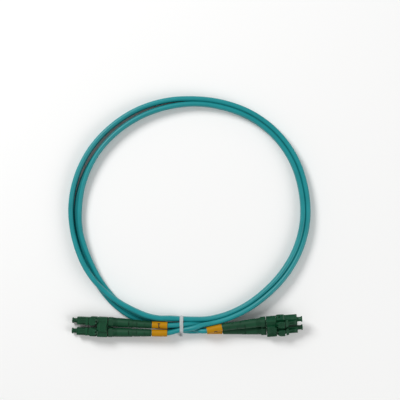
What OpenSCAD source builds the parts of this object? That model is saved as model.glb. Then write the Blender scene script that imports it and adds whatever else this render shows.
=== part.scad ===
// Duplex fibre patch cord: two strands side by side in one zip cord, wound in
// two turns and tied, with a pair of small latched plugs on each end.
// Millimetres. +Z up, the cord lies on z = 0. +X runs from end A to end B.

/* [Plug] */
// Width and height of the part of the plug that enters the adapter
plug_w = 4.52; // [4.4:0.01:4.6]
// Length of that part, from the front face to the collar
plug_l = 7.4; // [7:0.1:8]
// Distance between the two plugs of a pair
pitch = 6.25; // [6.2:0.05:6.4]
// Width of the collar and rear housing
collar_w = 5.5; // [5.2:0.1:5.6]
// Height of the collar and rear housing
collar_h = 5; // [4.8:0.1:5.2]
// Front face to the back of the rear housing
body_l = 18.4; // [18:0.1:19]

/* [Ferrule] */
// Ferrule diameter
ferrule_d = 1.25; // [1.24:0.01:1.26]
// How far the ferrule tip stands out of the front face
ferrule_out = 1.3; // [1:0.1:1.6]
// Angle of the polished tip
tip_angle = 8; // [0:1:9]

/* [Latch] */
// Width of the latch arm
latch_w = 2.4; // [2.2:0.1:2.6]
// Width across the two catches
catch_w = 4.6; // [4.4:0.1:4.8]
// Width of the trigger pad
pad_w = 4.4; // [3.8:0.1:4.6]
// Height of the clip's top above the ferrule axis
clip_h = 3.7; // [3.5:0.1:3.9]

/* [Boot and cap] */
// Length of the boot
boot_l = 26.1; // [24:0.1:27]
// Boot diameter next to the plug
boot_d1 = 5.6; // [5:0.1:5.7]
// Boot diameter at its tail
boot_d2 = 4.3; // [4.2:0.1:4.6]
// Diameter of the dust cap's stem
cap_d = 2.7; // [2.5:0.1:3]
// Diameter of the dust cap's rim
cap_rim_d = 3.5; // [3.2:0.1:3.8]
// Length of a marker sleeve
marker_l = 9.4; // [8:0.1:9.6]
// Outer diameter of a marker sleeve
marker_d = 4.2; // [4.2:0.1:4.4]

/* [Cord] */
// Diameter of one strand
cord_d = 2.95; // [2.8:0.05:3]
// Width of the tie
tie_w = 2.1; // [1.8:0.1:3]
// Thickness of the tie
tie_t = 0.4; // [0.3:0.05:0.5]

/* [Hidden] */

$fn = 40;

// ---- where the two ends lie ----
// Pair centre at the front face, then roll, pitch and yaw of the pair.
// End A lies flat with its boots resting on the cord; end B is rolled over.
END_POS = [[-66.06, 0.03, 2.26], [65.82, 1.62, 5.87]];
END_ROT = [[0, 4.6, 177.8], [34, -2, 4.45]];
// The boots bend together behind the plugs: yaw and lift of each boot.
BOOT_YAW = [1.5, 2];
BOOT_LIFT = [0, 2.34];
// Plug k: 0 = a1, 1 = a2, 2 = b1, 3 = b2. Plugs a1 and b1 share strand 1.
function end_of(k) = k < 2 ? 0 : 1;
function side_of(k) = k == 1 || k == 3 ? 1 : -1;

boot_x = body_l + 0.05; // each boot turns about this point behind the front face
cord_r = cord_d/2;

module at_end(e) translate(END_POS[e]) rotate(END_ROT[e]) children();
module at_plug(k) at_end(end_of(k)) translate([0, side_of(k)*pitch/2, 0]) children();
module at_boot(k) at_plug(k) translate([-boot_x, 0, 0])
    rotate([0, BOOT_LIFT[end_of(k)]*side_of(k), BOOT_YAW[end_of(k)]*side_of(k)]) children();

// A round bar along X from x0 to x1.
module bar(x0, x1, r, r2 = -1) translate([x0, 0, 0]) rotate([0, 90, 0])
    cylinder(h = x1 - x0, r1 = r, r2 = r2 < 0 ? r : r2);
// A block centred on the X axis in Y, from x0 to x1 and z0 to z1.
module block(x0, x1, w, z0, z1) translate([x0, -w/2, z0]) cube([x1 - x0, w, z1 - z0]);
// An X-Z outline extruded across Y.
module across(w) rotate([90, 0, 0]) linear_extrude(height = w, center = true) children();
// A bar across Y.
module pin_y(x, z, r, w) translate([x, 0, z]) rotate([90, 0, 0]) cylinder(h = w, r = r, center = true);

// ---- plug ----
wall_x0 = -4.6; // the wall that stops the ferrule's flange
wall_x1 = -2.9;
collar_end = -12.4;
latch_x = -1; // latch root
latch_z = 2.3;
trig_x = -13; // trigger root, in the front edge of the clip
trig_z = 3.05;

module front_body() color([0.1, 0.3, 0.19]) difference() {
    union() {
        intersection() {
            block(-plug_l - 1, 0, plug_w, -plug_w/2, plug_w/2);
            // bevelled nose
            across(plug_w + 1) polygon([[-plug_l - 1, -2.4], [-0.2, -2.4], [0, -2.1],
                [0, 2.1], [-0.2, 2.4], [-plug_l - 1, 2.4]]);
            linear_extrude(height = 6, center = true) polygon([[-plug_l - 1, -2.4],
                [-0.2, -2.4], [0, -2.1], [0, 2.1], [-0.2, 2.4], [-plug_l - 1, 2.4]]);
        }
        // collar, bevelled towards the nose
        intersection() {
            block(collar_end, -plug_l, collar_w, -collar_h/2, collar_h/2);
            linear_extrude(height = 8, center = true) polygon([[collar_end, -2.2], [collar_end + 0.25, -2.5],
                [collar_end + 0.6, -2.68], [collar_end + 1.1, -3], [-plug_l - 0.9, -3],
                [-plug_l, -plug_w/2], [-plug_l, plug_w/2], [-plug_l - 0.9, 3], [collar_end + 1.1, 3],
                [collar_end + 0.6, 2.68], [collar_end + 0.25, 2.5], [collar_end, 2.2]]);
        }
    }
    bar(wall_x1, 1, 1.65);
    bar(wall_x0 - 0.1, wall_x1 + 0.1, 0.72);
    bar(collar_end - 0.1, wall_x0, 1.72);
    pin_y(latch_x, latch_z, 0.36, latch_w + 0.2);
    // side windows where the rear housing snaps in
    block(-10.9, -9.9, collar_w + 1, -0.6, 0.6);
}

module latch_arm() color([0.11, 0.32, 0.2]) {
    pin_y(latch_x, latch_z, 0.3, latch_w);
    across(latch_w) polygon([[-0.85, 2.35], [-0.95, 2.58], [-1.5, 2.95], [-9.3, 3.95],
        [-9.8, 3.9], [-9.8, 3.4], [-1.4, 2.4]]);
    // the two catches, one each side of the arm
    across(catch_w) polygon([[-5.3, 3.02], [-5.3, 3.4], [-6.5, 3.9], [-6.9, 3.92], [-6.9, 3.15]]);
}

module rear_body() color([0.1, 0.29, 0.18]) difference() {
    union() {
        bar(-12.7, -9.6, 1.66);
        block(-body_l, collar_end - 0.05, 4.6, -2.3, 2.3);
        // snap wedges in the front housing's windows
        block(-10.7, -10.1, 3.8, -0.45, 0.45);
    }
    bar(-13, -9, 1.32);
    bar(-body_l - 0.1, -12.9, 1.62);
}

// Trigger: a pad that tapers back to a narrow arm, rooted in the clip.
module trigger_pad() color([0.12, 0.34, 0.21]) {
    pin_y(trig_x, trig_z, 0.34, 2.9);
    intersection() {
        across(pad_w + 1) polygon([[-13.05, 2.85], [-12.3, 2.85], [-11.6, 3.3], [-10.3, 4.15], [-9.2, 4.17],
            [-7.7, 4.35], [-7.55, 4.5], [-7.75, 4.75], [-11, 4.85], [-11.8, 4.5], [-12.6, 3.65], [-13.05, 3.35]]);
        translate([0, 0, 2]) linear_extrude(height = 4) polygon([[-7.7, -pad_w/2 + 0.15], [-7.9, -pad_w/2],
            [-9.6, -pad_w/2], [-10.5, -pad_w/2 + 0.2], [-11.4, -1.55], [-12, -1.3], [-12.5, -1.3], [-12.6, -1.45],
            [-14, -1.45], [-14, 1.45], [-12.6, 1.45], [-12.5, 1.3], [-12, 1.3], [-11.4, 1.55],
            [-10.5, pad_w/2 - 0.2], [-9.6, pad_w/2], [-7.9, pad_w/2], [-7.7, pad_w/2 - 0.15]]);
    }
}

module ferrule_rod() color([0.93, 0.92, 0.89]) difference() {
    bar(-5.25, ferrule_out, ferrule_d/2);
    // angled tip
    translate([ferrule_out - 0.1, 0, 0]) rotate([0, tip_angle, 0]) translate([0, -2, -2]) cube([2, 4, 4]);
}

module flange_part() color([0.72, 0.7, 0.66]) difference() {
    union() {
        bar(-5.9, -4.65, 1.45);
        bar(-9.6, -5.9, 0.8);
    }
    bar(-5.3, -4, ferrule_d/2 + 0.005);
    bar(-10, -5.2, 0.47);
    // key slots in the flange's rim
    for (a = [0:90:270]) rotate([a, 0, 0]) translate([-6.1, -0.25, 1.2]) cube([1, 0.5, 1]);
}

module fibre_end() color([0.2, 0.62, 0.64]) bar(-23.8, -5.35, 0.45);

module crimp_part() color([0.68, 0.67, 0.64]) difference() {
    union() {
        bar(-18.35, -12.95, 1.6);
        bar(-24, -18.35, 1.12);
        for (x = [-23.6:0.9:-19.2]) bar(x, x + 0.45, 1.2);
    }
    bar(-25, -12, 0.6);
}

module sleeve_part() color([0.74, 0.73, 0.7]) difference() {
    bar(-24.2, -18.65, 1.7);
    bar(-25, -18, 1.25);
}

module cap_part() color([0.13, 0.36, 0.24]) difference() {
    union() {
        bar(-2.4, 2.3, cap_d/2);
        bar(2.2, 2.35, cap_d/2, cap_rim_d/2);
        bar(2.35, 3, cap_rim_d/2);
        bar(3, 3.15, cap_rim_d/2, cap_rim_d/2 - 0.15);
        // raised ring that seats against the housing
        bar(0.05, 0.35, cap_d/2 + 0.15);
    }
    bar(-3, 1.9, 0.665);
}

// Outline of the boot's square end, from above and from the side.
boot_q = boot_d1/2 + 0.05;
boot_square = [[-3.3, 0.35 - boot_q], [-2.7, -boot_q], [-0.6, -boot_q], [-0.15, -2],
    [-0.15, 2], [-0.6, boot_q], [-2.7, boot_q], [-3.3, boot_q - 0.35]];

// Boot, in its own frame: front face at x = 0, tail towards -X.
module boot_part() color([0.1, 0.29, 0.18]) difference() {
    union() {
        intersection() {
            bar(-3.4, 0, 3.2);
            across(6) polygon(boot_square);
            linear_extrude(height = 8, center = true) polygon(boot_square);
        }
        bar(-15, -2.5, boot_d1/2 - 0.25, boot_d1/2);
        bar(-boot_l - 0.15, -15, boot_d2/2, boot_d1/2 - 0.38);
    }
    bar(-6.5, 1, 2.1);
    bar(-boot_l - 1, -6, 1.58);
    // bend slots near the tail, in staggered rows
    for (s = [-1, 1]) {
        for (x = [6, 10.8]) translate([-boot_l + x, s*2.6, 0]) cube([0.6, 1.3, 2.6], center = true);
        for (x = [3.6, 8.4, 13.2]) translate([-boot_l + x, 0, s*2.6]) cube([0.6, 2.6, 1.3], center = true);
    }
}

// Clip across one pair of rear housings, with a seat for each trigger.
module clip_part() color([0.12, 0.33, 0.2]) difference() {
    union() {
        block(-18.5, -12.6, 11.9, -1.7, clip_h);
        // thumb boss over the middle
        block(-17.9, -12.6, 5.2, 3, clip_h + 1.2);
    }
    for (s = [-1, 1]) translate([0, s*pitch/2, 0]) {
        block(-19, -12, 4.65, -3, 2.33);
        pin_y(trig_x, trig_z, 0.4, 3.1);
        // room for the arm of the trigger above and in front of its seat
        across(3.1) polygon([[trig_x - 0.4, trig_z], [trig_x - 0.4, 5], [-12.4, 5], [-12.4, 2.62], [-12.9, 2.65]]);
    }
    // finger hollow on top
    translate([-15.5, 0, 9]) rotate([90, 0, 0]) cylinder(h = 8, r = 4.5, center = true);
}

// ---- spring: a round wire swept along a helix ----
spring_turns = 7;
spring_r = 1.02;
wire_r = 0.14;
spring_x0 = -12.75;
spring_x1 = -6.1;
SP = [for (i = [0:spring_turns*12]) let (a = i*30, x = spring_x0 + (spring_x1 - spring_x0)*i/(spring_turns*12))
    [x, spring_r*cos(a), spring_r*sin(a)]];

// ---- sweep of a polygon along points ----
function unit(v) = v/norm(v);
function tang(P, i) = unit(P[min(i + 1, len(P) - 1)] - P[max(i - 1, 0)]);
// ring of n points of radius r round point i, first point level
function ring(P, i, r, n, up) = let (t = tang(P, i), u = unit(cross(up, t)), v = cross(t, u))
    [for (k = [0:n - 1]) P[i] + r*cos((k + 0.5)*360/n)*u + r*sin((k + 0.5)*360/n)*v];
function skin_faces(m, n) = concat(
    [[for (k = [0:n - 1]) n - 1 - k]],
    [[for (k = [0:n - 1]) (m - 1)*n + k]],
    [for (i = [0:m - 2], k = [0:n - 1]) [i*n + k, i*n + (k + 1)%n, (i + 1)*n + k]],
    [for (i = [0:m - 2], k = [0:n - 1]) [i*n + (k + 1)%n, (i + 1)*n + (k + 1)%n, (i + 1)*n + k]]);
module tube(P, r, n, up = [0, 0, 1]) polyhedron(
    points = [for (i = [0:len(P) - 1]) each ring(P, i, r, n, up)],
    faces = skin_faces(len(P), n), convexity = 8);

module spring_part() color([0.78, 0.78, 0.8]) tube(SP, wire_r, 6, [1, 0, 0]);

// ---- route of the zip cord ----
// Every row is the middle of the zip cord: position, height, roll and half the
// distance between the strands. At roll 0 strand 1 is on the left of the way
// from A to B; at -90 strand 2 is straight above strand 1.
loop_c = [1.3, 66.8]; // middle of the coil
// from the boots of end A through the tie: [x, y, z, roll, half gap]
LEG_A = [
    [-41.56, -0.91, 4.23, 0, 2.96],
    [-31.5, -1.3, 5.04, 0, 2.7],
    [-21.54, -1.68, 5.84, 0, 2.44],
    [-12.1, -1.9, 6.1, 0, 2.3],
    [-3.5, -0.7, 6.1, 5, 1.54],
    [0.6, -0.3, 6.15, -22, 1.48],
    [4.8, 0.1, 6.0, -56, 1.48],
    [9, 0.85, 5.0, -80, 1.48],
    [13.5, 1.45, 4.5, -88, 1.48]];
// round the coil twice: [angle, radius, z, roll]
COIL = [
    [288, 66.5, 4.4, -88], [300, 66.7, 4.4, -88], [314, 67.2, 4.1, -88], [328, 68.5, 3.5, -88],
    [342, 69.9, 3, -88], [357, 71, 2.95, -88], [372, 71.5, 2.95, -88], [387, 72.2, 2.95, -88],
    [402, 72.2, 2.95, -88], [417, 71.5, 2.95, -88], [432, 70.3, 2.95, -88], [447, 69.5, 2.95, -88],
    [462, 69.8, 2.95, -88], [477, 70.3, 2.95, -88], [492, 70.7, 2.95, -88], [507, 71.3, 2.95, -88],
    [522, 71.5, 2.95, -88], [537, 71.3, 2.95, -88], [549, 70.7, 3.2, -88], [557, 70.3, 4, -88],
    [565, 70, 5.3, -88], [573, 69.4, 6.5, -88], [581, 68.5, 7, -88], [590, 67.4, 6.8, -88],
    [600, 66.2, 6.2, -88], [608, 65.6, 5.6, -88], [614, 64.7, 5, -88], [619, 63.4, 4.4, -88],
    [625.6, 62.9, 3.7, -88], [632, 63, 3.1, -88], [640, 63.7, 2.95, -88],
    [648, 63.9, 2.95, -88], [660, 64.1, 2.95, -88], [674, 64.4, 2.95, -88], [688, 65.5, 2.95, -88],
    [702, 66.9, 2.95, -88], [717, 68, 2.95, -88], [732, 68.5, 2.95, -88], [747, 69.2, 2.95, -88],
    [762, 69.2, 2.95, -88], [777, 68.5, 2.95, -88], [792, 67.3, 2.95, -88], [807, 66.5, 2.95, -88],
    [822, 65.8, 2.95, -88], [837, 65.7, 2.95, -88], [852, 65.9, 2.95, -90], [867, 66.4, 2.95, -98],
    [882, 66.9, 2.8, -118], [897, 67.1, 2.55, -134], [909, 66.9, 2.75, -122], [917, 66.6, 2.7, -124],
    [925, 66.9, 2.5, -138], [933, 67.6, 2.15, -153], [941, 68.4, 1.9, -165], [950, 69.2, 1.75, -170],
    [960, 69.4, 1.75, -170], [968, 69.1, 1.75, -170], [974, 68.9, 1.75, -170], [978.5, 68.6, 1.8, -168]];
// from the tie to the boots of end B: [x, y, z, roll, half gap]
LEG_B = [
    [-3.5, -1.5, 2.6, -152, 1.48],
    [0.6, -2.1, 2.3, -150, 1.48],
    [4.8, -2.8, 2.8, -118, 1.48],
    [7.6, -3.0, 3.75, -95, 1.86],
    [10.8, -2.98, 4.25, -90.7, 2.11],
    [15, -2.54, 4.27, -103.6, 2.19],
    [22, -1.78, 4.33, -121, 2.47],
    [31.3, -1.07, 4.66, -133, 2.66],
    [41.31, -0.29, 5.01, -141, 2.92]];
ROWS = concat(LEG_A,
    [for (c = COIL) [loop_c[0] + c[1]*cos(c[0]), loop_c[1] + c[1]*sin(c[0]), c[2], c[3], 1.48]],
    LEG_B);
last = len(ROWS) - 1;
function xyz(p) = [p[0], p[1], p[2]];
GAP = [for (i = [0:last - 1]) norm(xyz(ROWS[i + 1]) - xyz(ROWS[i]))];
// slope of every row per millimetre of cord
function slope(i) = i == 0 ? (ROWS[1] - ROWS[0])/GAP[0]
    : i == last ? (ROWS[last] - ROWS[last - 1])/GAP[last - 1]
    : ((ROWS[i + 1] - ROWS[i])*GAP[i - 1]/GAP[i] + (ROWS[i] - ROWS[i - 1])*GAP[i]/GAP[i - 1])/(GAP[i - 1] + GAP[i]);
function along(i, t) = let (a = t*t*(3 - 2*t))
    ROWS[i]*(1 - a) + ROWS[i + 1]*a
    + GAP[i]*(t*(1 - t)*(1 - t)*slope(i) - t*t*(1 - t)*slope(i + 1));
ring_step = 9; // no two rings further apart than about three diameters
MID = concat([for (i = [0:last - 1]) let (n = max(1, ceil(GAP[i]/ring_step - 0.15)))
    each [for (j = [0:n - 1]) along(i, j/n)]], [ROWS[last]]);
// strand s = 1 or -1 lies beside the middle, on the rolled line through it
function strand_path(s) = [for (i = [0:len(MID) - 1])
    let (d = xyz(MID[min(i + 1, len(MID) - 1)]) - xyz(MID[max(i - 1, 0)]),
         left = unit([-d[1], d[0], 0]), roll = MID[i][3])
    xyz(MID[i]) + s*MID[i][4]*(cos(roll)*left + [0, 0, sin(roll)])];
STRAND = [strand_path(1), strand_path(-1)];

module strand(n) color([0.2, 0.6, 0.62]) tube(STRAND[n - 1], cord_r*1.02, 8);

// The web: a thin strip between the strands wherever they touch.
WEB = [for (i = [0:len(MID) - 1]) if (MID[i][4] < 1.49 && i > 6 && i < len(MID) - 8) i];
function web_ring(i) = let (
    a = STRAND[0][i], b = STRAND[1][i], m = (a + b)/2, w = unit(a - b)*0.6,
    t = tang(STRAND[0], i), v = unit(cross(t, w))*0.35)
    [m + w + v, m - w + v, m - w - v, m + w - v];
module web_part() color([0.19, 0.57, 0.59]) polyhedron(
    points = [for (i = WEB) each web_ring(i)], faces = skin_faces(len(WEB), 4), convexity = 8);

// Marker sleeve: a straight tube from the end of its boot along the strand.
function row_point(s, row, d) = let (left = unit([-d[1], d[0], 0]))
    xyz(row) + s*row[4]*(cos(row[3])*left + [0, 0, sin(row[3])]);
module tube_between(p, q, gap, len, r_out, r_in) let (d = unit(q - p), yaw = atan2(d[1], d[0]), dip = -asin(d[2]))
    translate(p + gap*d) rotate([0, dip, yaw]) difference() {
        rotate([0, 90, 0]) cylinder(h = len, r = r_out);
        translate([-1, 0, 0]) rotate([0, 90, 0]) cylinder(h = len + 2, r = r_in);
    }
function s_of(k) = side_of(k) == -1 ? 1 : -1;
module marker(k) color([0.82, 0.55, 0.02]) {
    a = end_of(k) == 0 ? ROWS[2] : ROWS[last - 2];
    b = end_of(k) == 0 ? ROWS[3] : ROWS[last - 4];
    d = end_of(k) == 0 ? xyz(b) - xyz(a) : xyz(a) - xyz(b);
    p = row_point(s_of(k), a, d);
    q = row_point(s_of(k), b, d);
    tube_between(p, q, end_of(k) == 0 ? 0.4 : 1.1, marker_l - 0.2, marker_d/2, 1.66);
}

// ---- tie: a flat strip round the six strands, its ends twisted together ----
tie_x = -3.5;
module bundle(r) hull() for (p = [[4.1, 5.1], [4.15, 2.1], [0.85, 6.2], [-2.3, 6], [-2.8, 1.95]])
    translate(p) circle(r = r, $fn = 32);
module tie_part() color([0.8, 0.81, 0.8]) {
    translate([tie_x - tie_w/2, 0, 0]) rotate([90, 0, 90]) linear_extrude(height = tie_w)
        difference() {
            bundle(cord_r + 0.05 + tie_t);
            bundle(cord_r + 0.05);
        }
    // twisted ends, pressed down beside the bundle
    translate([tie_x, -4.5, 1.3]) rotate([90, 0, 0]) cylinder(h = 1.7, r = 0.55, $fn = 12);
}

at_plug(0) front_body();  // front_housing_a1
at_plug(1) front_body();  // front_housing_a2
at_plug(2) front_body();  // front_housing_b1
at_plug(3) front_body();  // front_housing_b2
at_plug(0) latch_arm();  // latch_a1
at_plug(1) latch_arm();  // latch_a2
at_plug(2) latch_arm();  // latch_b1
at_plug(3) latch_arm();  // latch_b2
at_plug(0) rear_body();  // rear_housing_a1
at_plug(1) rear_body();  // rear_housing_a2
at_plug(2) rear_body();  // rear_housing_b1
at_plug(3) rear_body();  // rear_housing_b2
at_plug(0) trigger_pad();  // trigger_a1
at_plug(1) trigger_pad();  // trigger_a2
at_plug(2) trigger_pad();  // trigger_b1
at_plug(3) trigger_pad();  // trigger_b2
at_plug(0) ferrule_rod();  // ferrule_a1
at_plug(1) ferrule_rod();  // ferrule_a2
at_plug(2) ferrule_rod();  // ferrule_b1
at_plug(3) ferrule_rod();  // ferrule_b2
at_plug(0) flange_part();  // ferrule_flange_a1
at_plug(1) flange_part();  // ferrule_flange_a2
at_plug(2) flange_part();  // ferrule_flange_b1
at_plug(3) flange_part();  // ferrule_flange_b2
at_plug(0) spring_part();  // spring_a1
at_plug(1) spring_part();  // spring_a2
at_plug(2) spring_part();  // spring_b1
at_plug(3) spring_part();  // spring_b2
at_plug(0) crimp_part();  // crimp_body_a1
at_plug(1) crimp_part();  // crimp_body_a2
at_plug(2) crimp_part();  // crimp_body_b1
at_plug(3) crimp_part();  // crimp_body_b2
at_plug(0) sleeve_part();  // crimp_sleeve_a1
at_plug(1) sleeve_part();  // crimp_sleeve_a2
at_plug(2) sleeve_part();  // crimp_sleeve_b1
at_plug(3) sleeve_part();  // crimp_sleeve_b2
at_plug(0) fibre_end();  // fibre_a1
at_plug(1) fibre_end();  // fibre_a2
at_plug(2) fibre_end();  // fibre_b1
at_plug(3) fibre_end();  // fibre_b2
at_boot(0) boot_part();  // boot_a1
at_boot(1) boot_part();  // boot_a2
at_boot(2) boot_part();  // boot_b1
at_boot(3) boot_part();  // boot_b2
at_plug(0) cap_part();  // dust_cap_a1
at_plug(1) cap_part();  // dust_cap_a2
at_plug(2) cap_part();  // dust_cap_b1
at_plug(3) cap_part();  // dust_cap_b2
marker(0);  // marker_a1
marker(1);  // marker_a2
marker(2);  // marker_b1
marker(3);  // marker_b2
at_end(0) clip_part();  // duplex_clip_a
at_end(1) clip_part();  // duplex_clip_b
strand(1);  // strand_1
strand(2);  // strand_2
web_part();  // cord_web
tie_part();  // tie
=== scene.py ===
import math
import bpy
import bmesh
from mathutils import Vector, Matrix, Euler


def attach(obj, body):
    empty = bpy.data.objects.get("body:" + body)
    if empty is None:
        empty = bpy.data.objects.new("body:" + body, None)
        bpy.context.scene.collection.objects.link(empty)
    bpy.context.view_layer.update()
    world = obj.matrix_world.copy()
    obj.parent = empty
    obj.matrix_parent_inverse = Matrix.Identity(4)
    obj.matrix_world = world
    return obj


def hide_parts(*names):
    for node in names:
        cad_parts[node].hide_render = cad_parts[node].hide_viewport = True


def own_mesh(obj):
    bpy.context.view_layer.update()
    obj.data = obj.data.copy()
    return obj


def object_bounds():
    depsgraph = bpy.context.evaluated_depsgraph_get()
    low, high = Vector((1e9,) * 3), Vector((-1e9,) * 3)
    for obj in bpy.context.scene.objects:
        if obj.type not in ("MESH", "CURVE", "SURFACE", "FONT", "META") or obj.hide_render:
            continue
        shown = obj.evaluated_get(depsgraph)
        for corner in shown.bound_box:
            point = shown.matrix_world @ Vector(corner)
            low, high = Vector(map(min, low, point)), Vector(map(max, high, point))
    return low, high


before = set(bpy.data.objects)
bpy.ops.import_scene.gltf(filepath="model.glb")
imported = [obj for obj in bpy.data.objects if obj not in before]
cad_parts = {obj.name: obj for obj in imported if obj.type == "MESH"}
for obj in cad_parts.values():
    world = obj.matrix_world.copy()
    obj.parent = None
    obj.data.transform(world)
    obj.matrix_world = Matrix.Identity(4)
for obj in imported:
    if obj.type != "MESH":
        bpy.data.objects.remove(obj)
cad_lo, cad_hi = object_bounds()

MM = 0.001
DEG = math.pi/180

# ------------------------------------------------------------------ camera
cam_data = bpy.data.cameras.new("camera")
cam = bpy.data.objects.new("camera", cam_data)
bpy.context.scene.collection.objects.link(cam)
HEIGHT = 0.95
cam.location = (0.00762, 0.07548, HEIGHT)
cam.rotation_euler = (0, 0, 0)
cam_data.sensor_width = 36
cam_data.lens = 36*(HEIGHT - 0.004)/0.240
cam_data.clip_start, cam_data.clip_end = 0.05, 20
bpy.context.scene.camera = cam

# ------------------------------------------------------------------ the cord's route
# The same rows as the solid part's: middle of the zip cord, height, roll, half gap.
END_POS = [Vector((-66.06, 0.03, 2.26)), Vector((65.82, 1.62, 5.87))]
END_ROT = [(0, 4.6, 177.8), (34, -2, 4.45)]
BOOT_YAW = [1.5, 2]
BOOT_LIFT = [0, 2.34]
PITCH = 6.25
CORD_R = 1.475
MARK_L, MARK_R, MARK_RI = 9.2, 2.1, 1.66
LOOP_C = (1.3, 66.8)
LEG_A = [
    (-41.56, -0.91, 4.23, 0, 2.96), (-31.5, -1.3, 5.04, 0, 2.7), (-21.54, -1.68, 5.84, 0, 2.44),
    (-12.1, -1.9, 6.1, 0, 2.3), (-3.5, -0.7, 6.1, 5, 1.54), (0.6, -0.3, 6.15, -22, 1.48),
    (4.8, 0.1, 6.0, -56, 1.48), (9, 0.85, 5.0, -80, 1.48), (13.5, 1.45, 4.5, -88, 1.48)]
COIL = [
    (288, 66.5, 4.4, -88), (300, 66.7, 4.4, -88), (314, 67.2, 4.1, -88), (328, 68.5, 3.5, -88),
    (342, 69.9, 3, -88), (357, 71, 2.95, -88), (372, 71.5, 2.95, -88), (387, 72.2, 2.95, -88),
    (402, 72.2, 2.95, -88), (417, 71.5, 2.95, -88), (432, 70.3, 2.95, -88), (447, 69.5, 2.95, -88),
    (462, 69.8, 2.95, -88), (477, 70.3, 2.95, -88), (492, 70.7, 2.95, -88), (507, 71.3, 2.95, -88),
    (522, 71.5, 2.95, -88), (537, 71.3, 2.95, -88), (549, 70.7, 3.2, -88), (557, 70.3, 4, -88),
    (565, 70, 5.3, -88), (573, 69.4, 6.5, -88), (581, 68.5, 7, -88), (590, 67.4, 6.8, -88),
    (600, 66.2, 6.2, -88), (608, 65.6, 5.6, -88), (614, 64.7, 5, -88), (619, 63.4, 4.4, -88),
    (625.6, 62.9, 3.7, -88), (632, 63, 3.1, -88), (640, 63.7, 2.95, -88),
    (648, 63.9, 2.95, -88), (660, 64.1, 2.95, -88), (674, 64.4, 2.95, -88), (688, 65.5, 2.95, -88),
    (702, 66.9, 2.95, -88), (717, 68, 2.95, -88), (732, 68.5, 2.95, -88), (747, 69.2, 2.95, -88),
    (762, 69.2, 2.95, -88), (777, 68.5, 2.95, -88), (792, 67.3, 2.95, -88), (807, 66.5, 2.95, -88),
    (822, 65.8, 2.95, -88), (837, 65.7, 2.95, -88), (852, 65.9, 2.95, -90), (867, 66.4, 2.95, -98),
    (882, 66.9, 2.8, -118), (897, 67.1, 2.55, -134), (909, 66.9, 2.75, -122), (917, 66.6, 2.7, -124),
    (925, 66.9, 2.5, -138), (933, 67.6, 2.15, -153), (941, 68.4, 1.9, -165), (950, 69.2, 1.75, -170),
    (960, 69.4, 1.75, -170), (968, 69.1, 1.75, -170), (974, 68.9, 1.75, -170), (978.5, 68.6, 1.8, -168)]
LEG_B = [
    (-3.5, -1.5, 2.6, -152, 1.48), (0.6, -2.1, 2.3, -150, 1.48), (4.8, -2.8, 2.8, -118, 1.48),
    (7.6, -3.0, 3.75, -95, 1.86), (10.8, -2.98, 4.25, -90.7, 2.11), (15, -2.54, 4.27, -103.6, 2.19),
    (22, -1.78, 4.33, -121, 2.47), (31.3, -1.07, 4.66, -133, 2.66), (41.31, -0.29, 5.01, -141, 2.92)]


class Row(tuple):
    def __add__(self, o): return Row(a + b for a, b in zip(self, o))
    def __sub__(self, o): return Row(a - b for a, b in zip(self, o))
    def __mul__(self, k): return Row(a*k for a in self)


ROWS = ([Row(r) for r in LEG_A]
        + [Row((LOOP_C[0] + r*math.cos(a*DEG), LOOP_C[1] + r*math.sin(a*DEG), z, roll, 1.48)) for a, r, z, roll in COIL]
        + [Row(r) for r in LEG_B])
LAST = len(ROWS) - 1


def xyz(r):
    return Vector(r[:3])


GAP = [(xyz(ROWS[i + 1]) - xyz(ROWS[i])).length for i in range(LAST)]


def slope(i):
    if i == 0:
        return (ROWS[1] - ROWS[0])*(1/GAP[0])
    if i == LAST:
        return (ROWS[LAST] - ROWS[LAST - 1])*(1/GAP[LAST - 1])
    a, b = GAP[i - 1], GAP[i]
    return ((ROWS[i + 1] - ROWS[i])*(a/b) + (ROWS[i] - ROWS[i - 1])*(b/a))*(1/(a + b))


def along(i, t):
    h = t*t*(3 - 2*t)
    return (ROWS[i]*(1 - h) + ROWS[i + 1]*h
            + (slope(i)*(t*(1 - t)*(1 - t)) - slope(i + 1)*(t*t*(1 - t)))*GAP[i])


STEP = 1.8
MID, AT_ROW = [], []
for i in range(LAST):
    n = max(2, math.ceil(GAP[i]/STEP))
    AT_ROW.append(len(MID))
    MID += [along(i, j/n) for j in range(n)]
AT_ROW.append(len(MID))
MID.append(ROWS[LAST])


def side_dir(i):
    d = xyz(MID[min(i + 1, len(MID) - 1)]) - xyz(MID[max(i - 1, 0)])
    left = Vector((-d.y, d.x, 0)).normalized()
    roll = MID[i][3]*DEG
    return left*math.cos(roll) + Vector((0, 0, math.sin(roll)))


STRAND = {s: [xyz(MID[i]) + side_dir(i)*(s*MID[i][4]) for i in range(len(MID))] for s in (1, -1)}


# ------------------------------------------------------------------ materials
def srgb(r, g, b):
    f = lambda c: c/12.92 if c <= 0.04045 else ((c + 0.055)/1.055)**2.4
    return (f(r/255), f(g/255), f(b/255))


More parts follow.
